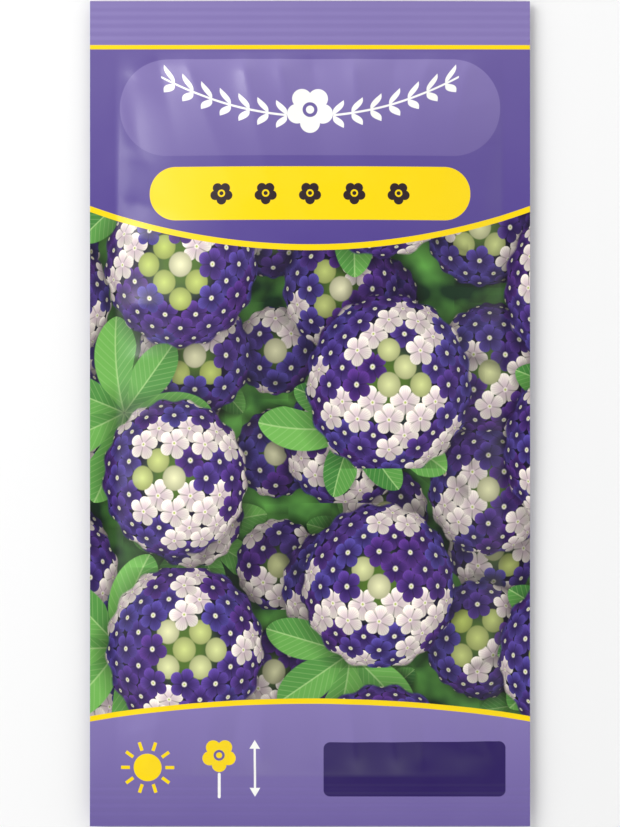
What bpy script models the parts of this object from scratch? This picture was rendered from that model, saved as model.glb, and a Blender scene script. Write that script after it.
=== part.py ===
"""A sealed seed packet, lying on its back, with its seeds inside.

Row frame: metres, +Z up. The origin is under the packet's middle, on the
surface that it lies on. +Y runs to the packet's top edge and +Z out of its
printed front.
"""

import math
import random

import bmesh
import bpy

# Driving dimensions
PACKET_WIDTH = 0.080
PACKET_LENGTH = 0.150
SIDE_SEAL = 0.005
END_SEAL = 0.009
LAMINATE = 0.00015
SEAL_GAP = 0.0001

# How far each web stands off the seal plane at the packet's middle
FRONT_SWELL = 0.0040
BACK_SWELL = 0.0022
# The back settles flat where the packet's weight presses it down
BACK_SETTLED = 0.0015
# Powers that shape the swell: a larger one keeps it full for longer towards a seam
SWELL_ACROSS = 2.2
SWELL_ALONG = 4
SWELL_SHOULDER = 0.9

# Columns and rows of each web
ACROSS_SEAL = 1
ACROSS_POUCH = 20
ALONG_SEAL = 1
ALONG_POUCH = 36
# Share of the way that the pouch's lines are moved towards its seams
CROWDING = 0.5

# Seeds, and the part of the pouch that they have slid into
SEED_COUNT = 20
SEED_LENGTH = 0.0048
SEED_WIDTH = 0.0037
SEED_HEIGHT = 0.0027
SEED_SIDES = 12
SEED_RINGS = 8
SEED_SPACING = 0.0053
SEED_CLEARANCE = 0.0003
HEAP_CENTRE_Y = -0.018
HEAP_HALF_WIDTH = 0.017
HEAP_HALF_LENGTH = 0.026
SEED_DRAW = 7
# How much wider a seed is at its blunt end, and its scar's depth, place and spread,
# all as shares of the seed's own size
BLUNTNESS = 0.16
SCAR_DEPTH = 0.10
SCAR_PLACE = (0.18, -0.5)
SCAR_SPREAD = 0.02

POUCH_HALF_WIDTH = PACKET_WIDTH / 2 - SIDE_SEAL
POUCH_HALF_LENGTH = PACKET_LENGTH / 2 - END_SEAL
# The seal plane lies midway between the two webs' inner faces at the rim
SEAL_HEIGHT = BACK_SETTLED + LAMINATE + SEAL_GAP / 2


def swell(x, y):
    """How full the pouch is at x, y: 1 at its middle and 0 on the seals."""
    across = min(1.0, abs(x) / POUCH_HALF_WIDTH)
    along = min(1.0, abs(y) / POUCH_HALF_LENGTH)
    fullness = (1 - across**SWELL_ACROSS) * (1 - along**SWELL_ALONG)
    return fullness**SWELL_SHOULDER


def front_inner_height(x, y):
    return SEAL_HEIGHT + SEAL_GAP / 2 + FRONT_SWELL * swell(x, y)


def back_inner_height(x, y):
    sag = min(BACK_SETTLED, BACK_SWELL * swell(x, y))
    return SEAL_HEIGHT - SEAL_GAP / 2 - sag


def stations(half, seal, seal_steps, pouch_steps):
    """Grid lines from -half to half, with the pouch's own lines crowded towards its seams."""
    pouch_half = half - seal
    outer = [-half + seal * i / seal_steps for i in range(seal_steps)]
    pouch = []
    for i in range(pouch_steps + 1):
        share = i / pouch_steps
        even = pouch_half * (2 * share - 1)
        crowded = -pouch_half * math.cos(math.pi * share)
        pouch.append(even + CROWDING * (crowded - even))
    return outer + pouch + [-place for place in reversed(outer)]


def in_collection(obj, collection):
    for holder in list(obj.users_collection):
        holder.objects.unlink(obj)
    collection.objects.link(obj)


def make_material(name, colour, roughness):
    material = bpy.data.materials.new(name)
    material.use_nodes = True
    shader = material.node_tree.nodes["Principled BSDF"]
    shader.inputs["Base Color"].default_value = (*colour, 1)
    shader.inputs["Roughness"].default_value = roughness
    shader.inputs["Metallic"].default_value = 0
    return material


def make_web(name, inner_height, side, material, collection):
    """One web of the laminate: a grid on its inner face, thickened outwards to the given side."""
    columns = stations(PACKET_WIDTH / 2, SIDE_SEAL, ACROSS_SEAL, ACROSS_POUCH)
    rows = stations(PACKET_LENGTH / 2, END_SEAL, ALONG_SEAL, ALONG_POUCH)
    bpy.ops.mesh.primitive_grid_add(
        x_subdivisions=len(columns) - 1, y_subdivisions=len(rows) - 1, size=1
    )
    web = bpy.context.object
    web.name = name
    web.data.name = name
    for vertex in web.data.vertices:
        x = columns[round((vertex.co.x + 0.5) * (len(columns) - 1))]
        y = rows[round((vertex.co.y + 0.5) * (len(rows) - 1))]
        vertex.co = (x, y, inner_height(x, y))
    thicken = web.modifiers.new("laminate", "SOLIDIFY")
    thicken.thickness = LAMINATE
    thicken.offset = side
    web.data.materials.append(material)
    web.data.shade_smooth()
    in_collection(web, collection)
    return web


def seed_mesh(material):
    """A plump oval seed, blunt at one end, with the small dent of its scar on one side."""
    mesh = bpy.data.meshes.new("seed")
    shape = bmesh.new()
    bmesh.ops.create_uvsphere(shape, u_segments=SEED_SIDES, v_segments=SEED_RINGS, radius=0.5)
    for vertex in shape.verts:
        x, y, z = vertex.co
        blunt = 1 + BLUNTNESS * x
        scar = SCAR_DEPTH * math.exp(-math.dist((x, y), SCAR_PLACE) ** 2 / SCAR_SPREAD)
        vertex.co = (
            x * SEED_LENGTH,
            (y * blunt + scar) * SEED_WIDTH,
            z * blunt * SEED_HEIGHT,
        )
    shape.to_mesh(mesh)
    shape.free()
    mesh.materials.append(material)
    mesh.shade_smooth()
    return mesh


def seed_places():
    """Spots in the heap, each a seed's spacing from the others, by a seeded draw."""
    draw = random.Random(SEED_DRAW)
    places = []
    while len(places) < SEED_COUNT:
        x = draw.uniform(-HEAP_HALF_WIDTH, HEAP_HALF_WIDTH)
        y = draw.uniform(-HEAP_HALF_LENGTH, HEAP_HALF_LENGTH)
        inside = (x / HEAP_HALF_WIDTH) ** 2 + (y / HEAP_HALF_LENGTH) ** 2 < 1
        spot = (x, HEAP_CENTRE_Y + y)
        if inside and all(math.dist(spot, other) > SEED_SPACING for other in places):
            places.append(spot)
    return places


def make_seeds(material, collection):
    mesh = seed_mesh(material)
    draw = random.Random(SEED_DRAW + 1)
    lowest = min(vertex.co.z for vertex in mesh.vertices)
    for number, (x, y) in enumerate(seed_places(), start=1):
        seed = bpy.data.objects.new(f"seed_{number:02d}", mesh)
        floor = back_inner_height(x, y)
        seed.location = (x, y, floor + SEED_CLEARANCE - lowest)
        seed.rotation_euler = (0, 0, draw.uniform(0, 2 * math.pi))
        collection.objects.link(seed)


def main():
    for obj in list(bpy.data.objects):
        bpy.data.objects.remove(obj)
    packet = bpy.data.collections.new("seed_packet")
    bpy.context.scene.collection.children.link(packet)

    front_print = make_material("printed_front", (0.16, 0.10, 0.36), 0.32)
    back_print = make_material("printed_back", (0.62, 0.58, 0.74), 0.38)
    seed_coat = make_material("seed_coat", (0.13, 0.085, 0.05), 0.45)

    make_web("front_web", front_inner_height, 1, front_print, packet)
    make_web("back_web", back_inner_height, -1, back_print, packet)
    make_seeds(seed_coat, packet)


main()
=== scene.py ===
"""The looks of a sealed flower seed packet, laid out as a Blender add-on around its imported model.

The packet lies on its back. Its front and back webs are printed paper laminate, sealed
together round all four edges, and its seeds lie loose inside.
"""

import math
import random

import bpy
import numpy as np
from bpy.props import FloatProperty, FloatVectorProperty, IntProperty, PointerProperty
from mathutils import Matrix, Vector, noise


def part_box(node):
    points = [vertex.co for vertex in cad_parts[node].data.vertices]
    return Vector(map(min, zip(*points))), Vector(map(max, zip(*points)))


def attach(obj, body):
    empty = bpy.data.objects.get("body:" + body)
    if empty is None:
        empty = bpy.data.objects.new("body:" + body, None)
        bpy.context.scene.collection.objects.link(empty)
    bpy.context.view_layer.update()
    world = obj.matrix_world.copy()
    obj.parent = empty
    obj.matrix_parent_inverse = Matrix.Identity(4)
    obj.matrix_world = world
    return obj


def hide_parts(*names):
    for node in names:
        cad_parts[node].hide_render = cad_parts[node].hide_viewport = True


bl_info = {
    "name": "Seed Packet",
    "version": (1, 0, 0),
    "blender": (4, 5, 0),
    "location": "3D View > Sidebar > Seed Packet",
    "description": "Builds a sealed seed packet with its print, its seeds and a studio stage",
    "category": "Object",
}

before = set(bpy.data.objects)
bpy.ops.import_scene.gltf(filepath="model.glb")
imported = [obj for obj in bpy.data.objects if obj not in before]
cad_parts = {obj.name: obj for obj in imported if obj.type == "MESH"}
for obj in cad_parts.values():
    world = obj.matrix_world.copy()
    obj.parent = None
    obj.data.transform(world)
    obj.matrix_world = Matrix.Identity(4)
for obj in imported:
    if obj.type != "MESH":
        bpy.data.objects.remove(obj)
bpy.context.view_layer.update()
ROOT = "root"
MM = 0.001
TAU = 2 * math.pi

FRONT_LOW, FRONT_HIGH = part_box("front_web")
BACK_LOW, BACK_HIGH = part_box("back_web")
PACKET_WIDTH = FRONT_HIGH.x - FRONT_LOW.x
PACKET_LENGTH = FRONT_HIGH.y - FRONT_LOW.y
WIDTH_MM = PACKET_WIDTH / MM
LENGTH_MM = PACKET_LENGTH / MM
SEED_NODES = sorted(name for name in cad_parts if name.startswith("seed_"))

# The photograph's frame, and how wide the packet stands in it
PHOTO_HEIGHT_PX = 827
PACKET_WIDTH_PX = 440

# The picture's layers over its ground, the farthest first. Each is its kind, its lattice
# and how bright it is. A lattice is its pitch in millimetres, a head's radius in
# millimetres or a rosette's count of leaves, and a draw
PICTURE_LAYERS = (
    ("rosettes", (30.0, 7.0, 0.13), 0.55),
    ("heads", (19.0, 8.6, 0.81), 0.6),
    ("heads", (26.0, 12.2, 0.27), 0.84),
    ("rosettes", (41.0, 7.0, 0.30), 1.0),
    ("heads", (36.0, 16.6, 0.12), 1.08),
)
# A flower, in a cell from -1 to 1. It is cream where its draw is above CREAM_FROM, and its
# draw turns it by up to MOST_TURN radians
PETALS = 5
PETAL_NOTCH = 0.62
PETAL_TIP = 0.98
PETAL_VEINS = 7
CREAM_FROM = 0.70
MOST_TURN = 40.0
# A flower head: the size of its florets in millimetres, how far its crown leans to the eye
# in radians, and the scallops of its outline. Florets are numbered from their own lattice's
# corner, which is so many cells from the crown that no number is below 0
FLORET_SIZE = 6.0
HEAD_TILT = 0.62
SCALLOPS = 17.0
CELLS_TO_CROWN = 40.0
# A rosette's leaves: their reach as a share of the pitch, what sets their half width as a
# share of their length, and how fast the wave that draws their side veins runs
LEAF_REACH = 0.445
LEAF_HALF_WIDTH = 0.62
LEAF_VEIN_WAVE = 75.0

# Printed ink fades out over this many millimetres
INK_EDGE = 0.08
# A panel's faces lie at least this far past its rule, in millimetres, which is more than
# half a face, so that none of the picture is on them
PANEL_MARGIN = 1.2

# The layout of the print, in millimetres from the middle of the flat web. An edge is its
# height at the middle and how it bows, a shading the heights that it runs between, a plate
# its centre, its half size and the radius of its corners, and a sign its centre and its size
HEADING_EDGE = (30.0, 0.0045)
FOOTING_EDGE = (-52.0, -0.0022)
HEADING_SHADING = (30.0, 75.0)
TITLE_SHADING = (44.0, 66.0)
FOOTING_SHADING = (-75.0, -53.0)
RULE_HALF_WIDTH = 0.5
FOOT_RULE_HALF_WIDTH = 0.45
TOP_BAND_EDGE = 66.6
TOP_RULE_HALF_WIDTH = 0.35
TITLE_PANEL = ((0.0, 55.5), (34.5, 8.8), 8.7)
TITLE_SPRIG = ((0.0, 53.8), 27.0)
TITLE_ROSETTE = ((0.0, 55.0), 4.4)
NAME_PLATE = ((0.0, 39.8), (29.0, 4.8), 4.7)
NAME_ROSETTE_SIZE = 2.1
NAME_ROSETTE_PITCH = 8.0
SUN = ((-29.5, -64.3), 4.8)
FLOWER = ((-16.5, -62.0), 3.2)
FLOWER_STALK = ((-16.5, -67.6), (0.22, 2.3), 0.2)
HEIGHT_ARROW = ((-10.0, -64.4), 5.2)
LABEL_PLATE = ((19.0, -64.6), (16.5, 5.0), 1.2)

BACK_SHADING = (-75.0, 75.0)
BACK_FRAME = ((0.0, 52.0), (33.0, 10.5), 3.0)
BACK_PANEL = ((0.0, 52.0), (32.4, 9.9), 2.4)
BACK_SPRIG = ((0.0, 50.4), 23.6)
BACK_ROSETTE = ((0.0, 51.6), 4.0)
BACK_SHEET = ((0.0, 9.0), (33.0, 28.0), 3.0)
BACK_RULING = ((0.0, 9.0), (29.0, 24.0), 0.5)
RULING_PITCH = 6.0
# Half a ruled line, as a share of the pitch
RULING_HALF_SHARE = 0.018
MONTHS_HEIGHT = -27.0
MONTH_PITCH = 5.5
MONTH_BOX = ((2.4, 3.0), 0.6)
# April to August, with January as 0
GROWING_MONTHS = range(3, 8)
BACK_SUN = ((-24.0, -43.0), 5.0)
BACK_FLOWER = ((-8.0, -41.5), 3.4)
BACK_STALK = ((-8.0, -47.2), (0.24, 2.4), 0.2)
BACK_ARROW = ((0.0, -43.6), 5.6)
BACK_LABEL = ((20.0, -43.5), (12.5, 7.0), 1.2)

# Powers that shape the swell: a larger one keeps it full for longer towards a seam
SWELL_ACROSS = 2.2
SWELL_ALONG = 4
SWELL_SHOULDER = 0.9
# The back would sag by half as much again, but it settles flat on what it lies on
BACK_SAG = 1.5
# What each web stands off the seal plane where they are sealed together
SEAL_STAND_OFF = 0.01 * MM

# How many folds run in from a seal, and how far the longest of them may run
END_FOLDS = 11
SIDE_FOLDS = 15
TOP_FOLD_REACH = 0.020
FOOT_FOLD_REACH = 0.022
RIGHT_FOLD_REACH = 0.011
LEFT_FOLD_REACH = 0.012
# Folds from the sides and dents in the middle, as shares of the end folds' height
SIDE_FOLD_SHARE = 0.6
DENT_SHARE = 0.35
# Folds rise to their full height over this distance from the seals
FOLD_RISE = 0.004
# How much a fold widens as it runs in, and the powers of its crest and of its fading
FOLD_FANNING = 0.12
FOLD_SHARPNESS = 1.35
FOLD_FADE = 1.5
DENT_LENGTH = 0.024
DENT_WIDTH = 0.021
FRONT_FOLDS_DRAW = 13
BACK_FOLDS_DRAW = 57

# The slow waves of the seals, and the plain strips on either side of the ribs
SIDE_WAVE_LENGTH = 0.055
SIDE_WAVE_DRAW = 2.2
END_WAVE_LENGTH = 0.045
END_WAVE_DRAW = 5.4
RIBS_FROM_POUCH = 0.7 * MM
RIBS_FROM_EDGE = 0.6 * MM
# Edges sharper than this are shaded as edges
CREASE_ANGLE = math.radians(50)

# A seed, and how much wider it is at its blunt end. Its scar is a dent with a low rim,
# given as shares of the seed's own size
SEED_LENGTH = 4.8 * MM
SEED_WIDTH = 3.7 * MM
SEED_HEIGHT = 2.7 * MM
BLUNTNESS = 0.16
SCAR_PLACE = (0.18, -0.5)
SCAR_DEPTH = 0.10
SCAR_SPREAD = 0.14
RIM_HEIGHT = 0.03
RIM_REACH = 0.2
RIM_SPREAD = 0.05
SEED_TURNS_DRAW = 8

# The floor is just under the packet, so that the two don't share a plane
FLOOR_SIZE = 3
FLOOR_HEIGHT = -0.05 * MM
KEY_LIGHT_PLACE = (-0.42, 0.30, 0.45)
KEY_LIGHT_SIZE = (0.30, 0.5)


def linear(colour):
    """An sRGB hex value such as "#7566a6" as linear RGB."""
    parts = [int(colour[i : i + 2], 16) / 255 for i in (1, 3, 5)]
    return tuple(c / 12.92 if c <= 0.04045 else ((c + 0.055) / 1.055) ** 2.4 for c in parts)


def colour_property(name, description, colour):
    return FloatVectorProperty(
        name=name, description=description, subtype="COLOR", min=0, max=1, default=linear(colour)
    )


class PacketSizes(bpy.types.PropertyGroup):
    """Sizes that the two webs are made to."""

    side_seal: FloatProperty(
        name="Side seal", description="Width of each side seal", default=5 * MM, unit="LENGTH"
    )
    end_seal: FloatProperty(
        name="End seal", description="Height of each end seal", default=9 * MM, unit="LENGTH"
    )
    laminate: FloatProperty(
        name="Laminate", description="Thickness of one web", default=0.12 * MM, unit="LENGTH"
    )
    rib_pitch: FloatProperty(
        name="Rib pitch", description="From one sealing rib to the next", default=1.5 * MM, unit="LENGTH"
    )
    rib_height: FloatProperty(
        name="Rib height", description="Relief of the sealing ribs", default=0.05 * MM, unit="LENGTH"
    )
    fold_height: FloatProperty(
        name="Fold height", description="Height of the folds that run in from the seals",
        default=0.75 * MM, unit="LENGTH",
    )
    curl: FloatProperty(
        name="Curl", description="How far the seals wave up and down", default=0.4 * MM, unit="LENGTH"
    )
    columns: IntProperty(name="Columns", description="Grid columns of each web", default=146)
    seal_rows: IntProperty(name="Seal rows", description="Grid rows of each end seal", default=36)
    pouch_rows: IntProperty(name="Pouch rows", description="Grid rows between the seals", default=236)


class PrintColours(bpy.types.PropertyGroup):
    """Inks of the print."""

    violet_dark: colour_property("Dark violet", "Shaded side of the panels", "#564592")
    violet: colour_property("Violet", "Heading and foot panels", "#6e5fa0")
    violet_light: colour_property("Light violet", "Lit side of the panels", "#8779b4")
    yellow: colour_property("Yellow", "Rules, plate and signs", "#ffdc00")
    navy: colour_property("Navy", "Label plate", "#2c1a5e")
    lime: colour_property("Lime", "Growing months on the back", "#97c800")
    white: colour_property("White", "Sprig, arrow and paper", "#fbfaf6")
    ink: colour_property("Dark ink", "Rosettes on the yellow plate", "#2f1f22")
    petal_deep: colour_property("Petal throat", "Purple petals near the eye", "#27114f")
    petal_bright: colour_property("Blue petal rim", "Bluer purple petals at the rim", "#5a4da8")
    petal_purple: colour_property("Purple petal rim", "Redder purple petals at the rim", "#5f3590")
    cream: colour_property("Cream petal", "Pale petals at the rim", "#fdf5e6")
    cream_shade: colour_property("Cream shade", "Pale petals near the eye", "#cdb6c0")
    bud_green: colour_property("Green bud", "Youngest buds at the tips", "#b9c866")
    bud_cream: colour_property("Cream bud", "Swelling buds", "#f6efcf")
    leaf_dark: colour_property("Dark leaf", "Leaf halves in shade", "#1f6a2c")
    leaf_light: colour_property("Light leaf", "Leaf halves in light", "#7cc05a")
    leaf_vein: colour_property("Leaf vein", "Ribs and side veins", "#b9e092")
    crown_gap: colour_property("Crown gap", "Between the buds at a head's crown", "#4f6d28")
    floret_gap: colour_property("Floret gap", "Between the open flowers of a head", "#140c2c")
    ground_dark: colour_property("Dark ground", "Blurred leaves in shade", "#0f2f18")
    ground_light: colour_property("Light ground", "Blurred leaves in light", "#5fa044")


class StageSettings(bpy.types.PropertyGroup):
    """Camera and lights."""

    lens: FloatProperty(name="Lens", description="Focal length", default=120, unit="CAMERA")
    key_power: FloatProperty(name="Key", description="Power of the key light", default=2.5, unit="POWER")
    sky: FloatProperty(name="Sky", description="Strength of the light all round", default=1.25)


def put(tree, kind, *inputs, **settings):
    """Adds one shader node and gives its first output.

    A kind such as Math.ADD sets the node's operation too. Each input, in the order of
    the node's sockets, is a socket to link, a value to set, or None to leave alone.
    """
    kind, _, operation = kind.partition(".")
    node = tree.nodes.new("ShaderNode" + kind)
    if operation:
        node.operation = operation
    if kind == "Mix":
        node.data_type = "RGBA"
    for name, value in settings.items():
        setattr(node, name, value)
    sockets = [socket for socket in node.inputs if socket.enabled]
    for socket, value in zip(sockets, inputs):
        if isinstance(value, bpy.types.NodeSocket):
            tree.links.new(value, socket)
        elif value is not None:
            colour = socket.type == "RGBA" and len(value) == 3
            socket.default_value = (*value, 1) if colour else value
    return next(socket for socket in node.outputs if socket.enabled)


def new_group(name, inputs, outputs):
    """An empty node group with these sockets, and its inner ends."""
    kinds = {"float": "NodeSocketFloat", "vector": "NodeSocketVector", "colour": "NodeSocketColor"}
    tree = bpy.data.node_groups.new(name, "ShaderNodeTree")
    for title, kind in inputs.items():
        tree.interface.new_socket(title, in_out="INPUT", socket_type=kinds[kind])
    for title, kind in outputs.items():
        tree.interface.new_socket(title, in_out="OUTPUT", socket_type=kinds[kind])
    start = tree.nodes.new("NodeGroupInput").outputs
    end = tree.nodes.new("NodeGroupOutput").inputs
    return tree, [start[title] for title in inputs], end


def blossom_group(inks):
    """A round flower of five petals seen from its front, in a cell from -1 to 1."""
    t, (cell, pick), end = new_group(
        "blossom", {"Cell": "vector", "Pick": "float"}, {"Color": "colour", "Alpha": "float"}
    )
    x = put(t, "SeparateXYZ", cell)
    y = x.node.outputs["Y"]
    reach = put(t, "VectorMath.LENGTH", cell)
    # The outline: lobed petals, with each flower turned by its own draw
    turned = put(t, "Math.MULTIPLY_ADD", pick, MOST_TURN, put(t, "Math.ARCTAN2", y, x))
    wave = put(t, "Math.COSINE", put(t, "Math.MULTIPLY", turned, PETALS / 2))
    wave = put(t, "Math.ABSOLUTE", wave)
    lobe = put(t, "Math.POWER", wave, 0.6)
    edge = put(t, "Math.MULTIPLY_ADD", lobe, PETAL_TIP - PETAL_NOTCH, PETAL_NOTCH)
    alpha = put(t, "MapRange", put(t, "Math.SUBTRACT", edge, reach), 0.0, 0.05)

    # The colour, from the throat out to the rim
    out = put(t, "Math.POWER", put(t, "Math.DIVIDE", reach, edge), 1.6)
    pale = put(t, "Math.GREATER_THAN", pick, CREAM_FROM)
    rim = put(t, "Mix", put(t, "MapRange", pick, 0.1, 0.6), inks.petal_bright, inks.petal_purple)
    violet = put(t, "Mix", out, inks.petal_deep, rim)
    cream = put(t, "Mix", out, inks.cream_shade, inks.cream)
    petal = put(t, "Mix", pale, violet, cream)

    # Dark grooves between the petals, faint veins, and light from the upper left
    groove = put(t, "MapRange", wave, 0.0, 0.4, 0.45, 1.0)
    vein = put(t, "Math.SINE", put(t, "Math.MULTIPLY", turned, PETALS * PETAL_VEINS))
    groove = put(t, "Math.MULTIPLY_ADD", vein, 0.06, groove)
    lit = put(t, "Math.MULTIPLY_ADD", y, 0.28, put(t, "Math.MULTIPLY_ADD", x, -0.16, 1.0))
    petal = put(t, "VectorMath.SCALE", petal, put(t, "Math.MULTIPLY", groove, lit))

    # A pale eye with a green pip in it
    eye = put(t, "MapRange", reach, 0.10, 0.19, 0.9, 0.0)
    petal = put(t, "Mix", eye, petal, inks.cream)
    pip = put(t, "MapRange", reach, 0.05, 0.09, 1.0, 0.0)
    petal = put(t, "Mix", pip, petal, inks.bud_green)
    t.links.new(petal, end["Color"])
    t.links.new(alpha, end["Alpha"])
    return t


def heads_group(inks, blossom):
    """Round flower heads, one in each cell of a lattice whose columns are staggered."""
    t, (place, pitch, radius, draw), end = new_group(
        "flower_heads",
        {"Place": "vector", "Pitch": "float", "Radius": "float", "Draw": "float"},
        {"Color": "colour", "Alpha": "float", "Shadow": "float"},
    )
    # The head's own cell, its draw, and the place as an offset from the head's middle
    berth = put(t, "VectorMath.SCALE", place, put(t, "Math.DIVIDE", 1.0, pitch))
    column = put(t, "Math.FLOOR", put(t, "Math.ADD", put(t, "SeparateXYZ", berth), draw))
    stagger = put(t, "Math.MULTIPLY_ADD", column, 0.5, put(t, "Math.MULTIPLY", draw, 2.3))
    berth = put(t, "VectorMath.ADD", berth, put(t, "CombineXYZ", draw, stagger, 0.0))
    own = put(t, "TexWhiteNoise", put(t, "VectorMath.FLOOR", berth))
    chance = own.node.outputs["Color"]
    offset = put(t, "VectorMath.SUBTRACT", put(t, "VectorMath.FRACTION", berth), (0.5, 0.5, 0.0))
    jitter = put(t, "VectorMath.MULTIPLY_ADD", chance, (0.14, 0.2, 0.0), (-0.07, -0.1, 0.0))
    offset = put(t, "VectorMath.SCALE", put(t, "VectorMath.SUBTRACT", offset, jitter), pitch)

    # The point of the ball that is seen there
    own_radius = put(t, "Math.MULTIPLY", radius, put(t, "MapRange", own, 0.0, 1.0, 0.8, 1.0))
    ball = put(t, "VectorMath.SCALE", offset, put(t, "Math.DIVIDE", 1.0, own_radius))
    ball = put(t, "VectorMath.MULTIPLY", ball, (1.0, 0.92, 0.0))
    out = put(t, "VectorMath.LENGTH", ball)
    nearness = put(t, "Math.SQRT", put(t, "Math.SUBTRACT", 1.0, put(t, "Math.MULTIPLY", out, out)))
    front = put(t, "VectorMath.ADD", ball, put(t, "CombineXYZ", 0.0, 0.0, nearness))

    # The head is looked at a little from above. Its florets spread evenly out from its crown
    turned = put(t, "VectorRotate", front, None, None, HEAD_TILT, rotation_type="X_AXIS")
    height = put(t, "SeparateXYZ", turned).node.outputs["Z"]
    from_crown = put(t, "Math.ARCCOSINE", height)
    flat_out = put(t, "VectorMath.NORMALIZE", put(t, "VectorMath.MULTIPLY", turned, (1.0, 1.0, 0.0)))
    crowding = put(t, "Math.DIVIDE", own_radius, FLORET_SIZE)
    spread = put(t, "Math.MULTIPLY", from_crown, crowding)
    florets = put(t, "VectorMath.SCALE", flat_out, spread)

    # Two sets of florets, the second half a cell on from the first and over it
    roundness = put(t, "MapRange", nearness, 0.0, 0.85, 0.34, 1.0)
    bare = put(t, "MapRange", from_crown, 0.2, 0.5)
    colour = put(t, "Mix", bare, inks.crown_gap, inks.floret_gap)
    for step in (0.0, 0.5):
        start = CELLS_TO_CROWN + step
        spot = put(t, "VectorMath.ADD", florets, (start, start, 0.0))
        number = put(t, "VectorMath.FLOOR", spot)
        pick = put(t, "TexWhiteNoise", put(t, "VectorMath.ADD", number, chance))
        own_out = put(t, "VectorMath.DISTANCE", number, (start - 0.5, start - 0.5, 0.0))
        own_out = put(t, "Math.DIVIDE", own_out, crowding)
        # Buds near the crown, open flowers further out
        budding = put(t, "MapRange", own_out, 0.1, 0.55, 1.0, 0.0)
        cell = put(t, "VectorMath.FRACTION", spot)
        cell = put(t, "VectorMath.MULTIPLY_ADD", cell, (2.0, 2.0, 0.0), (-1.0, -1.0, 0.0))
        flower = put(t, "Group", cell, pick, node_tree=blossom)
        bud_reach = put(t, "VectorMath.LENGTH", cell)
        bud_alpha = put(t, "MapRange", bud_reach, 0.66, 0.74, 1.0, 0.0)
        bud = put(t, "Mix", pick, inks.bud_green, inks.bud_cream)
        bud = put(t, "VectorMath.SCALE", bud, put(t, "MapRange", bud_reach, 0.0, 0.8, 1.12, 0.5))
        opened = put(t, "Math.GREATER_THAN", pick, budding)
        petal = put(t, "Mix", opened, bud, flower)
        seen = put(t, "Mix", opened, bud_alpha, flower.node.outputs["Alpha"], data_type="FLOAT")
        colour = put(t, "Mix", seen, colour, petal)
    colour = put(t, "VectorMath.SCALE", colour, roundness)

    # The head's outline is scalloped by the petals that stand out past it
    bearing = put(t, "SeparateXYZ", flat_out)
    turn = put(t, "Math.ARCTAN2", bearing.node.outputs["Y"], bearing)
    scallop = put(t, "Math.SINE", put(t, "Math.MULTIPLY", turn, SCALLOPS))
    rim = put(t, "Math.MULTIPLY_ADD", scallop, 0.022, out)
    alpha = put(t, "MapRange", rim, 0.955, 0.98, 1.0, 0.0)
    t.links.new(colour, end["Color"])
    t.links.new(alpha, end["Alpha"])
    t.links.new(put(t, "MapRange", out, 0.93, 1.18, 0.45, 1.0), end["Shadow"])
    return t


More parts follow.
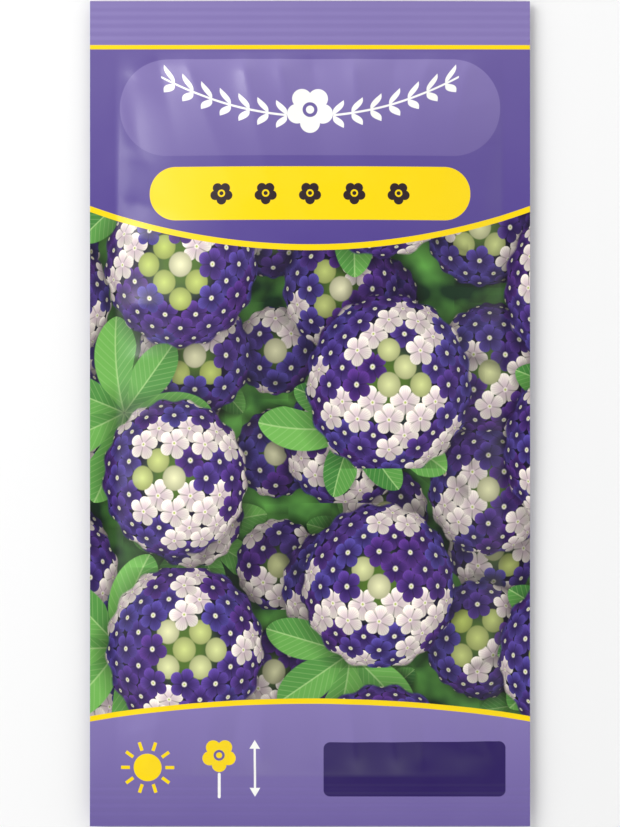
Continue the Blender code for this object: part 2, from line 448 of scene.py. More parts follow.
def leaf_rosettes_group(inks):
    """Rosettes of oval leaves, one in each cell of a square lattice."""
    t, (place, pitch, leaves, draw), end = new_group(
        "leaf_rosettes",
        {"Place": "vector", "Pitch": "float", "Leaves": "float", "Draw": "float"},
        {"Color": "colour", "Alpha": "float", "Shadow": "float"},
    )
    # The rosette's own cell, its draw, and the place as an offset from the rosette's middle
    berth = put(t, "VectorMath.SCALE", place, put(t, "Math.DIVIDE", 1.0, pitch))
    start = put(t, "CombineXYZ", draw, put(t, "Math.MULTIPLY", draw, 1.7), 0.0)
    berth = put(t, "VectorMath.ADD", berth, start)
    own = put(t, "TexWhiteNoise", put(t, "VectorMath.FLOOR", berth))
    chance = own.node.outputs["Color"]
    offset = put(t, "VectorMath.SUBTRACT", put(t, "VectorMath.FRACTION", berth), (0.5, 0.5, 0.0))
    jitter = put(t, "VectorMath.MULTIPLY_ADD", chance, (0.1, 0.1, 0.0), (-0.05, -0.05, 0.0))
    offset = put(t, "VectorMath.SCALE", put(t, "VectorMath.SUBTRACT", offset, jitter), pitch)
    offset = put(t, "VectorMath.MULTIPLY", offset, (1.0, 1.0, 0.0))
    reach = put(t, "Math.MULTIPLY", pitch, LEAF_REACH)

    # The nearest leaf, with its own draw, and how far the place is off its rib
    x = put(t, "SeparateXYZ", offset)
    y = x.node.outputs["Y"]
    out = put(t, "VectorMath.LENGTH", offset)
    bearing = put(t, "Math.MULTIPLY_ADD", own, TAU, put(t, "Math.ARCTAN2", y, x))
    share = put(t, "Math.MULTIPLY", put(t, "Math.DIVIDE", bearing, TAU), leaves)
    leaf_number = put(t, "Math.ROUND", share)
    key = put(t, "Math.FLOORED_MODULO", leaf_number, leaves)
    pick = put(t, "TexWhiteNoise", put(t, "CombineXYZ", key, own, draw))
    aside = put(t, "Math.MULTIPLY", put(t, "Math.SUBTRACT", share, leaf_number), TAU)
    aside = put(t, "Math.DIVIDE", aside, leaves)
    own_reach = put(t, "Math.MULTIPLY", reach, put(t, "MapRange", pick, 0.0, 1.0, 0.72, 1.0))
    bend = put(t, "MapRange", pick, 0.0, 1.0, -0.25, 0.25)
    aside = put(t, "Math.MULTIPLY_ADD", put(t, "Math.DIVIDE", out, reach), bend, aside)
    out = put(t, "Math.DIVIDE", out, own_reach)
    along = put(t, "Math.MULTIPLY", out, put(t, "Math.COSINE", aside), use_clamp=True)
    sideways = put(t, "Math.MULTIPLY", out, put(t, "Math.SINE", aside))
    off_rib = put(t, "Math.ABSOLUTE", sideways)

    # The leaf's oval outline, widest a little past its middle
    half = put(t, "Math.POWER", put(t, "Math.SUBTRACT", 1.0, along), 0.6)
    half = put(t, "Math.MULTIPLY", put(t, "Math.POWER", along, 0.85), half)
    half = put(t, "Math.MULTIPLY", half, LEAF_HALF_WIDTH)
    inside = put(t, "Math.SUBTRACT", half, off_rib)
    alpha = put(t, "MapRange", inside, 0.0, 0.012)

    # One half in light and one in shade, slanting side veins and a pale rib
    lit_side = put(t, "MapRange", sideways, -0.01, 0.01)
    tint = put(t, "Math.MULTIPLY_ADD", lit_side, 0.28, 0.18)
    tint = put(t, "Math.MULTIPLY_ADD", pick, 0.45, tint)
    leaf = put(t, "Mix", tint, inks.leaf_dark, inks.leaf_light)
    slant = put(t, "Math.MULTIPLY_ADD", off_rib, -1.1, along)
    vein = put(t, "Math.SINE", put(t, "Math.MULTIPLY", slant, LEAF_VEIN_WAVE))
    leaf = put(t, "Mix", put(t, "MapRange", vein, 0.7, 1.0, 0.0, 0.22), leaf, inks.leaf_vein)
    rib = put(t, "MapRange", off_rib, 0.004, 0.012, 0.6, 0.0)
    leaf = put(t, "Mix", rib, leaf, inks.leaf_vein)
    depth = put(t, "MapRange", along, 0.0, 0.35, 0.35, 1.0)
    leaf = put(t, "VectorMath.SCALE", leaf, depth)
    t.links.new(leaf, end["Color"])
    t.links.new(alpha, end["Alpha"])
    t.links.new(put(t, "MapRange", inside, -0.12, 0.0, 1.0, 0.55), end["Shadow"])
    return t


def layer_over(t, under, place, group, values, shade):
    """One layer of the picture over what is under it.

    Cycles holds few values at once, so the layer is made to wait for what is under it.
    """
    waiting = put(t, "VectorMath.MULTIPLY_ADD", under, (1e-7, 1e-7, 1e-7), place)
    item = put(t, "Group", waiting, *values, node_tree=group)
    under = put(t, "VectorMath.SCALE", under, item.node.outputs["Shadow"])
    shaded = put(t, "VectorMath.SCALE", item, shade)
    return put(t, "Mix", item.node.outputs["Alpha"], under, shaded)


def picture(t, place, inks):
    """The picture of the print: round flower heads, some near and some far, over their leaves."""
    groups = {"heads": heads_group(inks, blossom_group(inks)), "rosettes": leaf_rosettes_group(inks)}
    # The ground is foliage too far off to be sharp, in clouds of light about 9 mm across
    cloud = put(t, "TexNoise", place, 0.11, 2.0, 0.5, noise_dimensions="2D")
    seen = put(t, "Mix", put(t, "MapRange", cloud, 0.35, 0.68), inks.ground_dark, inks.ground_light)
    for kind, lattice, shade in PICTURE_LAYERS:
        seen = layer_over(t, seen, place, groups[kind], lattice, shade)
    return seen


def box_field(t, place, centre, half_size, corner):
    """Distance from a round-cornered box, in millimetres, below 0 inside it."""
    offset = put(t, "VectorMath.SUBTRACT", place, (*centre, 0.0))
    offset = put(t, "VectorMath.ABSOLUTE", offset)
    inner = (half_size[0] - corner, half_size[1] - corner, 0.0)
    beyond = put(t, "VectorMath.SUBTRACT", offset, inner)
    beyond = put(t, "VectorMath.MAXIMUM", beyond, (0.0, 0.0, 0.0))
    return put(t, "Math.SUBTRACT", put(t, "VectorMath.LENGTH", beyond), corner)


def spokes(t, place, centre, count, turn=0.0):
    """The place as (distance out along the nearest of some even spokes, distance off it)."""
    offset = put(t, "VectorMath.SUBTRACT", place, (*centre, 0.0))
    x = put(t, "SeparateXYZ", offset)
    out = put(t, "VectorMath.LENGTH", offset)
    bearing = put(t, "Math.ADD", put(t, "Math.ARCTAN2", x.node.outputs["Y"], x), turn)
    share = put(t, "Math.MULTIPLY", bearing, count / TAU)
    aside = put(t, "Math.SUBTRACT", share, put(t, "Math.ROUND", share))
    aside = put(t, "Math.MULTIPLY", aside, TAU / count)
    along = put(t, "Math.MULTIPLY", out, put(t, "Math.COSINE", aside))
    off = put(t, "Math.MULTIPLY", out, put(t, "Math.SINE", aside))
    return put(t, "CombineXYZ", along, off, 0.0)


def ink_in(t, under, field, colour):
    """Prints a colour over what is under it wherever a field is below 0."""
    cover = put(t, "MapRange", field, 0.0, INK_EDGE, 1.0, 0.0)
    return put(t, "Mix", cover, under, colour)


def plate(t, under, place, shape, colour):
    """A plain plate, given as its centre, its half size and the radius of its corners."""
    return ink_in(t, under, box_field(t, place, *shape), colour)


def rosette(t, under, place, centre, size, colour, eye):
    """A plain flower sign of five round petals with an eye and a pip."""
    petal_out, petal_radius = 0.56 * size, 0.40 * size
    eye_radius, pip_radius = 0.30 * size, 0.16 * size
    petals = spokes(t, place, centre, 5, math.pi / 10)
    field = put(t, "VectorMath.DISTANCE", petals, (petal_out, 0.0, 0.0))
    under = ink_in(t, under, put(t, "Math.SUBTRACT", field, petal_radius), colour)
    middle = put(t, "VectorMath.DISTANCE", place, (*centre, 0.0))
    under = ink_in(t, under, put(t, "Math.SUBTRACT", middle, eye_radius), eye)
    return ink_in(t, under, put(t, "Math.SUBTRACT", middle, pip_radius), colour)


def sun_sign(t, under, place, centre, size, colour):
    """A disc with ten short rays."""
    disc_radius, ray_out = 0.52 * size, 0.84 * size
    ray_half_size = (0.16 * size, 0.055 * size)
    middle = put(t, "VectorMath.DISTANCE", place, (*centre, 0.0))
    under = ink_in(t, under, put(t, "Math.SUBTRACT", middle, disc_radius), colour)
    ray = box_field(t, spokes(t, place, centre, 10), (ray_out, 0.0), ray_half_size, 0.02)
    return ink_in(t, under, ray, colour)


def arrow_sign(t, under, place, centre, half_height, colour):
    """An upright line with a head at each end."""
    line_half_width, head_height, head_slope = 0.16, 1.5, 0.6
    line_half_size = (line_half_width, half_height - 0.4)
    under = ink_in(t, under, box_field(t, place, centre, line_half_size, 0.02), colour)
    offset = put(t, "VectorMath.ABSOLUTE", put(t, "VectorMath.SUBTRACT", place, (*centre, 0.0)))
    x = put(t, "SeparateXYZ", offset)
    y = x.node.outputs["Y"]
    slope = put(t, "Math.MULTIPLY_ADD", y, head_slope, x)
    slope = put(t, "Math.SUBTRACT", slope, head_slope * half_height)
    base = put(t, "Math.SUBTRACT", half_height - head_height, y)
    return ink_in(t, under, put(t, "Math.MAXIMUM", slope, base), colour)


def sprig(t, under, place, centre, half_length, colour):
    """Two leafy twigs that run out to either side of a rosette."""
    bow, twig_start, leaves_start, twig_half_width = 0.010, 2.2, 2.0, 0.16
    leaf_pitch, leaf_length, leaf_half_width, leaf_slant = 3.4, 2.5, 0.72, 0.75
    # The place along a twig and off it, with the twig's bow taken out
    offset = put(t, "VectorMath.SUBTRACT", place, (*centre, 0.0))
    x = put(t, "SeparateXYZ", put(t, "VectorMath.ABSOLUTE", offset))
    y = put(t, "SeparateXYZ", offset).node.outputs["Y"]
    y = put(t, "Math.SUBTRACT", y, put(t, "Math.MULTIPLY", put(t, "Math.MULTIPLY", x, x), bow))
    twig = put(t, "CombineXYZ", x, y, 0.0)
    middle = (half_length / 2 + twig_start, 0.0)
    stem = box_field(t, twig, middle, (half_length / 2 - twig_start, twig_half_width), 0.1)
    under = ink_in(t, under, stem, colour)
    # Pairs of leaves, which slant out from the twig
    step = put(t, "Math.FRACT", put(t, "Math.DIVIDE", x, leaf_pitch))
    step = put(t, "Math.MULTIPLY_ADD", step, leaf_pitch, -leaf_pitch / 2)
    height = put(t, "Math.ABSOLUTE", y)
    slanted = put(t, "Math.MULTIPLY_ADD", height, -leaf_slant, step)
    slanted = put(t, "Math.ABSOLUTE", put(t, "Math.ADD", slanted, 0.9))
    leaf_half = put(t, "Math.SINE", put(t, "Math.DIVIDE", height, leaf_length / math.pi))
    leaf = put(t, "Math.MULTIPLY_ADD", leaf_half, -leaf_half_width, slanted)
    beyond = put(t, "Math.SUBTRACT", height, leaf_length)
    ends = box_field(t, twig, middle, (half_length / 2 - leaves_start, 4.0), 0.1)
    leaf = put(t, "Math.MAXIMUM", put(t, "Math.MAXIMUM", leaf, beyond), ends)
    return ink_in(t, under, leaf, colour)


def edge_height(x, middle, bow):
    """Height of a bowed edge at a place across, in millimetres."""
    return middle + bow * x * x


def edge_field(t, place, middle, bow):
    """How far a place is above a bowed edge, in millimetres."""
    x = put(t, "SeparateXYZ", place)
    edge = put(t, "Math.MULTIPLY_ADD", put(t, "Math.MULTIPLY", x, x), bow, middle)
    return put(t, "Math.SUBTRACT", x.node.outputs["Y"], edge)


def rule(t, under, field, half_width, colour):
    """A line along the place where a field is 0."""
    off = put(t, "Math.SUBTRACT", put(t, "Math.ABSOLUTE", field), half_width)
    return ink_in(t, under, off, colour)


def panels(t, under, place, inks):
    """The violet grounds at the head and foot, each edged with a yellow rule."""
    y = put(t, "SeparateXYZ", place).node.outputs["Y"]
    above = edge_field(t, place, *HEADING_EDGE)
    ground = put(t, "Mix", put(t, "MapRange", y, *HEADING_SHADING), inks.violet_dark, inks.violet)
    under = ink_in(t, under, put(t, "Math.MULTIPLY", above, -1.0), ground)
    under = rule(t, under, above, RULE_HALF_WIDTH, inks.yellow)
    below = edge_field(t, place, *FOOTING_EDGE)
    ground = put(t, "Mix", put(t, "MapRange", y, *FOOTING_SHADING), inks.violet, inks.violet_light)
    under = ink_in(t, under, below, ground)
    return rule(t, under, below, FOOT_RULE_HALF_WIDTH, inks.yellow)


def heading_signs(t, under, place, inks):
    """A lit panel with a sprig, a yellow plate with a row of rosettes, and a ruled top band."""
    y = put(t, "SeparateXYZ", place).node.outputs["Y"]
    lit = put(t, "Mix", put(t, "MapRange", y, *TITLE_SHADING), inks.violet, inks.violet_light)
    under = plate(t, under, place, TITLE_PANEL, lit)
    under = sprig(t, under, place, *TITLE_SPRIG, inks.white)
    under = rosette(t, under, place, *TITLE_ROSETTE, inks.white, inks.violet)
    under = plate(t, under, place, NAME_PLATE, inks.yellow)
    for step in (-2, -1, 0, 1, 2):
        centre = (step * NAME_ROSETTE_PITCH, NAME_PLATE[0][1])
        under = rosette(t, under, place, centre, NAME_ROSETTE_SIZE, inks.ink, inks.yellow)
    band = put(t, "Math.SUBTRACT", TOP_BAND_EDGE, y)
    under = ink_in(t, under, band, inks.violet_light)
    return rule(t, under, band, TOP_RULE_HALF_WIDTH, inks.yellow)


def footing_signs(t, under, place, inks):
    """The signs for sun, flower and height, and a bare label plate."""
    under = sun_sign(t, under, place, *SUN, inks.yellow)
    under = rosette(t, under, place, *FLOWER, inks.yellow, inks.violet)
    under = plate(t, under, place, FLOWER_STALK, inks.white)
    under = arrow_sign(t, under, place, *HEIGHT_ARROW, inks.white)
    return plate(t, under, place, LABEL_PLATE, inks.navy)


def flat_place(t):
    """The place on the flat print, in millimetres from its middle."""
    flat = put(t, "UVMap", uv_map="flat")
    half = (-WIDTH_MM / 2, -LENGTH_MM / 2, 0.0)
    return put(t, "VectorMath.MULTIPLY_ADD", flat, (WIDTH_MM, LENGTH_MM, 0.0), half)


def varnish(t, place):
    """Varnish over coated paper: an even soft gloss, with a faint tooth from the fibres."""
    shader = t.nodes["Principled BSDF"]
    # The varnish lies a little unevenly, in clouds about 8 mm across
    cloud = put(t, "TexNoise", place, 0.12, 3.0, 0.5, noise_dimensions="2D")
    rough = put(t, "MapRange", cloud, 0.3, 0.7, 0.30, 0.38)
    t.links.new(rough, shader.inputs["Roughness"])
    # Paper fibres are 0.02 mm across. They are drawn at 0.4 mm, the finest that shows
    fibre = put(t, "TexNoise", place, 2.5, 2.0, 0.6, noise_dimensions="2D")
    bump = put(t, "Bump", 0.06, 0.00004, None, fibre)
    t.links.new(bump, shader.inputs["Normal"])
    shader.inputs["Coat Weight"].default_value = 0.35
    shader.inputs["Coat Roughness"].default_value = 0.16
    return shader


def front_print(inks, part):
    """Full-colour offset print on the front, for its picture or for its head and foot panels.

    The two parts are two materials, because the picture takes long to work out.
    """
    material = bpy.data.materials.new("varnished_art_paper_" + part)
    material.use_nodes = True
    t = material.node_tree
    place = flat_place(t)
    if part == "picture":
        colour = panels(t, picture(t, place, inks), place, inks)
    else:
        colour = panels(t, inks.violet, place, inks)
        colour = heading_signs(t, colour, place, inks)
        colour = footing_signs(t, colour, place, inks)
    t.links.new(colour, varnish(t, place).inputs["Base Color"])
    return material


def back_print(inks):
    """Plain offset print on the back: bare panels for what a packet says, and month boxes."""
    material = bpy.data.materials.new("varnished_art_paper_back")
    material.use_nodes = True
    t = material.node_tree
    place = flat_place(t)
    y = put(t, "SeparateXYZ", place).node.outputs["Y"]
    shading = put(t, "MapRange", y, *BACK_SHADING)
    colour = put(t, "Mix", shading, inks.violet_light, inks.violet)
    colour = plate(t, colour, place, BACK_FRAME, inks.yellow)
    colour = plate(t, colour, place, BACK_PANEL, inks.violet_dark)
    colour = sprig(t, colour, place, *BACK_SPRIG, inks.white)
    colour = rosette(t, colour, place, *BACK_ROSETTE, inks.white, inks.violet_dark)
    colour = plate(t, colour, place, BACK_SHEET, inks.white)
    row = put(t, "Math.FRACT", put(t, "Math.DIVIDE", y, RULING_PITCH))
    line = put(t, "Math.ABSOLUTE", put(t, "Math.SUBTRACT", row, 0.5))
    line = put(t, "Math.SUBTRACT", line, RULING_HALF_SHARE)
    line = put(t, "Math.MAXIMUM", line, box_field(t, place, *BACK_RULING))
    colour = ink_in(t, colour, put(t, "Math.MULTIPLY", line, RULING_PITCH), inks.violet_light)
    for month in range(12):
        centre = ((month - 5.5) * MONTH_PITCH, MONTHS_HEIGHT)
        growing = inks.lime if month in GROWING_MONTHS else inks.white
        colour = plate(t, colour, place, (centre, *MONTH_BOX), growing)
    colour = sun_sign(t, colour, place, *BACK_SUN, inks.yellow)
    colour = rosette(t, colour, place, *BACK_FLOWER, inks.yellow, inks.violet)
    colour = plate(t, colour, place, BACK_STALK, inks.white)
    colour = arrow_sign(t, colour, place, *BACK_ARROW, inks.white)
    colour = plate(t, colour, place, BACK_LABEL, inks.white)
    t.links.new(colour, varnish(t, place).inputs["Base Color"])
    return material


def paper_core():
    """Uncoated white paper, where the laminate is cut: dull and a little fibrous."""
    material = bpy.data.materials.new("cut_paper_core")
    material.use_nodes = True
    t = material.node_tree
    shader = t.nodes["Principled BSDF"]
    spot = put(t, "TexCoord").node.outputs["Object"]
    # Fibres are drawn 0.25 mm across, far coarser than real ones, so that they show
    fibre = put(t, "TexNoise", spot, 4000.0, 2.0, 0.6)
    tone = put(t, "MapRange", fibre, 0.3, 0.7)
    t.links.new(put(t, "Mix", tone, linear("#d9d4cb"), linear("#f6f3ee")), shader.inputs["Base Color"])
    shader.inputs["Roughness"].default_value = 0.85
    return material


def seed_coat():
    """A dry seed's hard coat: smooth, with a dull shine, brown with darker mottling."""
    material = bpy.data.materials.new("mottled_seed_coat")
    material.use_nodes = True
    t = material.node_tree
    shader = t.nodes["Principled BSDF"]
    spot = put(t, "TexCoord").node.outputs["Object"]
    # Mottles of a lupin's seed are about 0.5 mm across
    mottle = put(t, "TexNoise", spot, 1400.0, 3.0, 0.6)
    tone = put(t, "MapRange", mottle, 0.42, 0.58)
    colour = put(t, "Mix", tone, linear("#3b2618"), linear("#8a6f54"))
    t.links.new(colour, shader.inputs["Base Color"])
    rough = put(t, "MapRange", mottle, 0.3, 0.7, 0.35, 0.5)
    t.links.new(rough, shader.inputs["Roughness"])
    return material


def smooth_step(value):
    value = np.clip(value, 0, 1)
    return value * value * (3 - 2 * value)


def ripple(places, length, seed):
    """A smooth uneven wave along some places. Noise reaches 0.6, so this reaches about 1."""
    waves = [noise.noise(Vector((place / length, seed, 0.5 * seed))) for place in places]
    return np.array(waves) * 1.6


def folds_from(seal_long, across, depth, count, reach, seed):
    """Heights of sharp folds that run in from one seal, fan out and die away.

    Two in three stand up. The others are shallower creases.
    """
    draw = random.Random(seed)
    heights = np.zeros(np.broadcast(across, depth).shape)
    for number in range(count):
        start = seal_long * ((number + draw.uniform(0.2, 0.8)) / count - 0.5)
        size = draw.uniform(0.25, 1) * draw.choice((1, 1, -0.7))
        width = draw.uniform(0.9, 1.9) * MM
        length = reach * draw.uniform(0.45, 1)
        slant = -0.7 * start / seal_long + draw.uniform(-0.16, 0.16)
        off = (across - start - slant * depth) / (width + FOLD_FANNING * depth)
        crest = np.exp(-(np.abs(off) ** FOLD_SHARPNESS))
        heights = heights + size * crest * np.exp(-((depth / length) ** FOLD_FADE))
    return heights


def web_heights(x, y, sizes, peak, seed):
    """How far a web stands off the seal plane over a grid of places: its swell and its folds."""
    pouch_x = PACKET_WIDTH / 2 - sizes.side_seal
    pouch_y = PACKET_LENGTH / 2 - sizes.end_seal
    across = np.minimum(1, np.abs(x) / pouch_x)[None, :]
    along = np.minimum(1, np.abs(y) / pouch_y)[:, None]
    fullness = ((1 - across**SWELL_ACROSS) * (1 - along**SWELL_ALONG)) ** SWELL_SHOULDER

    x, y = x[None, :], y[:, None]
    from_top, from_foot = np.maximum(0, pouch_y - y), np.maximum(0, pouch_y + y)
    from_right, from_left = np.maximum(0, pouch_x - x), np.maximum(0, pouch_x + x)
    top = folds_from(PACKET_WIDTH, x, from_top, END_FOLDS, TOP_FOLD_REACH, seed)
    foot = folds_from(PACKET_WIDTH, x, from_foot, END_FOLDS, FOOT_FOLD_REACH, seed + 1)
    right = folds_from(PACKET_LENGTH, y, from_right, SIDE_FOLDS, RIGHT_FOLD_REACH, seed + 2)
    left = folds_from(PACKET_LENGTH, y, from_left, SIDE_FOLDS, LEFT_FOLD_REACH, seed + 3)
    folds = top + foot + SIDE_FOLD_SHARE * right + SIDE_FOLD_SHARE * left

    off_seal = np.maximum(0, np.minimum(pouch_y - np.abs(y), pouch_x - np.abs(x)))
    rise = smooth_step(off_seal / FOLD_RISE)
    dents_along = ripple(y[:, 0], DENT_LENGTH, seed)
    dents_across = ripple(x[0], DENT_WIDTH, seed + 0.5)
    folds = folds + DENT_SHARE * np.outer(dents_along, dents_across)
    return peak * fullness + sizes.fold_height * rise * folds


def seal_plane(x, y, sizes):
    """Height of the plane where the webs meet. It waves near the edges and is ribbed at the ends."""
    middle = (FRONT_LOW.z + BACK_HIGH.z) / 2
    side_share = (np.abs(x) / (PACKET_WIDTH / 2))[None, :] ** 2
    end_share = (np.abs(y) / (PACKET_LENGTH / 2))[:, None] ** 6
    side_wave = ripple(y, SIDE_WAVE_LENGTH, SIDE_WAVE_DRAW)[:, None] * side_share
    end_wave = ripple(x, END_WAVE_LENGTH, END_WAVE_DRAW)[None, :] * end_share
    into_seal = np.abs(y) - (PACKET_LENGTH / 2 - sizes.end_seal)
    margin = PACKET_LENGTH / 2 - np.abs(y)
    ribbed = smooth_step((into_seal - RIBS_FROM_POUCH) / MM)
    ribbed = ribbed * smooth_step((margin - RIBS_FROM_EDGE) / MM)
    ribs = sizes.rib_height * ribbed * np.sin(TAU * y / sizes.rib_pitch)
    return middle + sizes.curl * (side_wave + end_wave) + ribs[:, None]


def add_web(name, x, y, heights, materials, faces_down):
    """A web as a grid with its lines at x and y, and its print laid flat on it."""
    bpy.ops.object.select_all(action="DESELECT")
    columns, rows = len(x) - 1, len(y) - 1
    bpy.ops.mesh.primitive_grid_add(x_subdivisions=columns, y_subdivisions=rows, size=1)
    web = bpy.context.object
    web.name = name
    mesh = web.data
    # Each vertex moves to the place and height of its own column and row
    spots = np.empty(len(mesh.vertices) * 3, np.float32)
    mesh.vertices.foreach_get("co", spots)
    spots = spots.reshape(-1, 3)
    column = np.rint((spots[:, 0] + 0.5) * columns).astype(int)
    row = np.rint((spots[:, 1] + 0.5) * rows).astype(int)
    spots[:, 0], spots[:, 1] = x[column], y[row]
    spots[:, 2] = heights[row, column]
    mesh.vertices.foreach_set("co", spots.ravel())
    # The print is laid on from straight above or, on the back, from below
    corners = np.empty(len(mesh.loops), np.int32)
    mesh.loops.foreach_get("vertex_index", corners)
    flat = spots[corners, :2] / (PACKET_WIDTH, PACKET_LENGTH) + 0.5
    if faces_down:
        flat[:, 0] = 1 - flat[:, 0]
    mesh.uv_layers[0].name = "flat"
    mesh.uv_layers["flat"].data.foreach_set("uv", flat.astype(np.float32).ravel())
    for material in materials:
        mesh.materials.append(material)
    if faces_down:
        mesh.flip_normals()
    return web


def thicken(web, sizes):
    """Gives the web its thickness outwards, with the paper's core inside and on its cut edge."""
    core = len(web.data.materials) - 1
    wall = web.modifiers.new("laminate", "SOLIDIFY")
    wall.thickness = sizes.laminate
    wall.offset = 1
    wall.material_offset = core
    wall.material_offset_rim = core
    bpy.context.view_layer.objects.active = web
    bpy.ops.object.modifier_apply(modifier=wall.name)
    web.data.shade_smooth()
    web.data.set_sharp_from_angle(angle=CREASE_ANGLE)


class PACKET_OT_webs(bpy.types.Operator):
    """Makes the printed front web and back web, sealed together round their edges"""

    bl_idname = "packet.webs"
    bl_label = "Webs"

    def execute(self, context):
        sizes, inks = context.scene.packet_sizes, context.scene.packet_inks
        x = np.linspace(-PACKET_WIDTH / 2, PACKET_WIDTH / 2, sizes.columns + 1)
        pouch_end = PACKET_LENGTH / 2 - sizes.end_seal
        pouch = np.linspace(-pouch_end, pouch_end, sizes.pouch_rows + 1)
        seal = np.linspace(pouch_end, PACKET_LENGTH / 2, sizes.seal_rows + 1)
        y = np.concatenate((-seal[::-1], pouch[1:-1], seal))
        plane = seal_plane(x, y, sizes)
        peak = FRONT_HIGH.z - FRONT_LOW.z - sizes.laminate
        swell = np.maximum(0, web_heights(x, y, sizes, peak, FRONT_FOLDS_DRAW))
        front_heights = plane + SEAL_STAND_OFF + swell
        peak = BACK_SAG * (BACK_HIGH.z - BACK_LOW.z - sizes.laminate)
        swell = np.maximum(0, web_heights(x, y, sizes, peak, BACK_FOLDS_DRAW))
        rest_height = BACK_LOW.z + sizes.laminate
        back_heights = np.maximum(rest_height, plane - SEAL_STAND_OFF - swell)

        core = paper_core()
        prints = [front_print(inks, "picture"), front_print(inks, "panels")]
        front = add_web("packet_front", x, y, front_heights, [*prints, core], False)
        for face in front.data.polygons:
            across, along = face.center.x / MM, face.center.y / MM
            head = along > edge_height(across, *HEADING_EDGE) + PANEL_MARGIN
            foot = along < edge_height(across, *FOOTING_EDGE) - PANEL_MARGIN
            face.material_index = 1 if head or foot else 0
        back = add_web("packet_back", x, y, back_heights, [back_print(inks), core], True)
        webs = ((front, "front_web", "printed_front"), (back, "back_web", "printed_back"))
        for web, node, slot in webs:
            thicken(web, sizes)
            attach(web, ROOT)
            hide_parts(node)
        return {"FINISHED"}


class PACKET_OT_seeds(bpy.types.Operator):
    """Makes the loose seeds, each in the place of its own solid and turned at random about the upright
    """

    bl_idname = "packet.seeds"
    bl_label = "Seeds"

    def execute(self, context):
        bpy.ops.object.select_all(action="DESELECT")
        bpy.ops.mesh.primitive_uv_sphere_add(segments=40, ring_count=24, radius=0.5)
        first = bpy.context.object
        for vertex in first.data.vertices:
            x, y, z = vertex.co
            blunt = 1 + BLUNTNESS * x
            from_scar = math.dist((x, y), SCAR_PLACE)
            dent = SCAR_DEPTH * math.exp(-((from_scar / SCAR_SPREAD) ** 2))
            rim = RIM_HEIGHT * math.exp(-(((from_scar - RIM_REACH) / RIM_SPREAD) ** 2))
            width = y * blunt + dent - rim
            vertex.co = (x * SEED_LENGTH, width * SEED_WIDTH, z * blunt * SEED_HEIGHT)
        first.data.materials.append(seed_coat())
        first.data.shade_smooth()
        turns = random.Random(SEED_TURNS_DRAW)
        for node in SEED_NODES:
            seed = bpy.data.objects.new("plump_" + node, first.data.copy())
            context.collection.objects.link(seed)
            seed.data.transform(Matrix.Rotation(turns.uniform(0, TAU), 4, "Z"))
            low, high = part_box(node)
            spots = [vertex.co for vertex in seed.data.vertices]
            middle = [(min(co[i] for co in spots) + max(co[i] for co in spots)) / 2 for i in range(3)]
            seed.data.transform(Matrix.Translation((low + high) / 2 - Vector(middle)))
            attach(seed, ROOT)
            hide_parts(node)
        bpy.data.objects.remove(first)
        return {"FINISHED"}


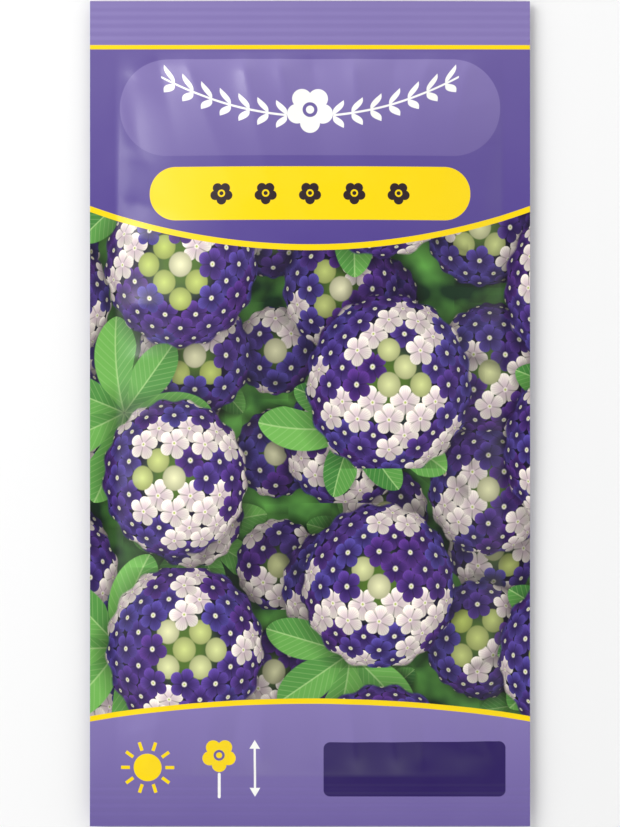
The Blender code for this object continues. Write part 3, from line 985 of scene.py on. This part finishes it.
class PACKET_OT_stage(bpy.types.Operator):
    """Sets a white floor, soft even light and the camera that looks straight down"""

    bl_idname = "packet.stage"
    bl_label = "Stage"

    def execute(self, context):
        scene, stage = context.scene, context.scene.packet_stage
        bpy.ops.mesh.primitive_plane_add(size=FLOOR_SIZE, location=(0, 0, FLOOR_HEIGHT))
        floor = context.object
        floor.name = "floor"
        paint = bpy.data.materials.new("matt_white_floor")
        paint.use_nodes = True
        shader = paint.node_tree.nodes["Principled BSDF"]
        shader.inputs["Base Color"].default_value = (*linear("#f4f4f4"), 1)
        shader.inputs["Roughness"].default_value = 0.9
        floor.data.materials.append(paint)

        world = bpy.data.worlds.new("even_sky")
        scene.world = world
        world.use_nodes = True
        # Bright all round and dimmer overhead, so that the print's blacks stay deep
        t = world.node_tree
        up = put(t, "SeparateXYZ", put(t, "TexCoord")).node.outputs["Z"]
        sky = t.nodes["Background"]
        t.links.new(put(t, "MapRange", up, 0.5, 1.0, 1.0, 0.05), sky.inputs["Color"])
        sky.inputs["Strength"].default_value = stage.sky
        lamp = bpy.data.lights.new("key", "AREA")
        lamp.shape = "RECTANGLE"
        lamp.size, lamp.size_y = KEY_LIGHT_SIZE
        lamp.energy = stage.key_power
        key = bpy.data.objects.new("key", lamp)
        key.location = KEY_LIGHT_PLACE
        key.rotation_euler = (-key.location).to_track_quat("-Z", "Y").to_euler()
        scene.collection.objects.link(key)

        lens = bpy.data.cameras.new("camera")
        lens.lens = stage.lens
        camera = bpy.data.objects.new("camera", lens)
        scene.collection.objects.link(camera)
        # The frame is upright, so the sensor's longer side spans its height
        view_height = PHOTO_HEIGHT_PX / PACKET_WIDTH_PX * PACKET_WIDTH
        distance = view_height / (lens.sensor_width / lens.lens)
        camera.location = (0, 0, FRONT_LOW.z + distance)
        scene.camera = camera
        scene.view_settings.view_transform = "Standard"
        return {"FINISHED"}


class PACKET_PT_panel(bpy.types.Panel):
    """Lists what builds the packet"""

    bl_idname = "PACKET_PT_panel"
    bl_label = "Seed Packet"
    bl_space_type = "VIEW_3D"
    bl_region_type = "UI"
    bl_category = "Seed Packet"

    def draw(self, context):
        for operator in OPERATORS:
            self.layout.operator(operator.bl_idname)
        scene = context.scene
        for settings in (scene.packet_sizes, scene.packet_inks, scene.packet_stage):
            box = self.layout.box()
            for name in settings.bl_rna.properties.keys():
                if name not in {"rna_type", "name"}:
                    box.prop(settings, name)


OPERATORS = (PACKET_OT_stage, PACKET_OT_webs, PACKET_OT_seeds)
CLASSES = (PacketSizes, PrintColours, StageSettings, *OPERATORS, PACKET_PT_panel)


def register():
    for cls in CLASSES:
        bpy.utils.register_class(cls)
    bpy.types.Scene.packet_sizes = PointerProperty(type=PacketSizes)
    bpy.types.Scene.packet_inks = PointerProperty(type=PrintColours)
    bpy.types.Scene.packet_stage = PointerProperty(type=StageSettings)


def unregister():
    del bpy.types.Scene.packet_sizes
    del bpy.types.Scene.packet_inks
    del bpy.types.Scene.packet_stage
    for cls in reversed(CLASSES):
        bpy.utils.unregister_class(cls)


def main():
    register()
    bpy.ops.packet.stage()
    bpy.ops.packet.webs()
    bpy.ops.packet.seeds()


if __name__ == "__main__":
    main()
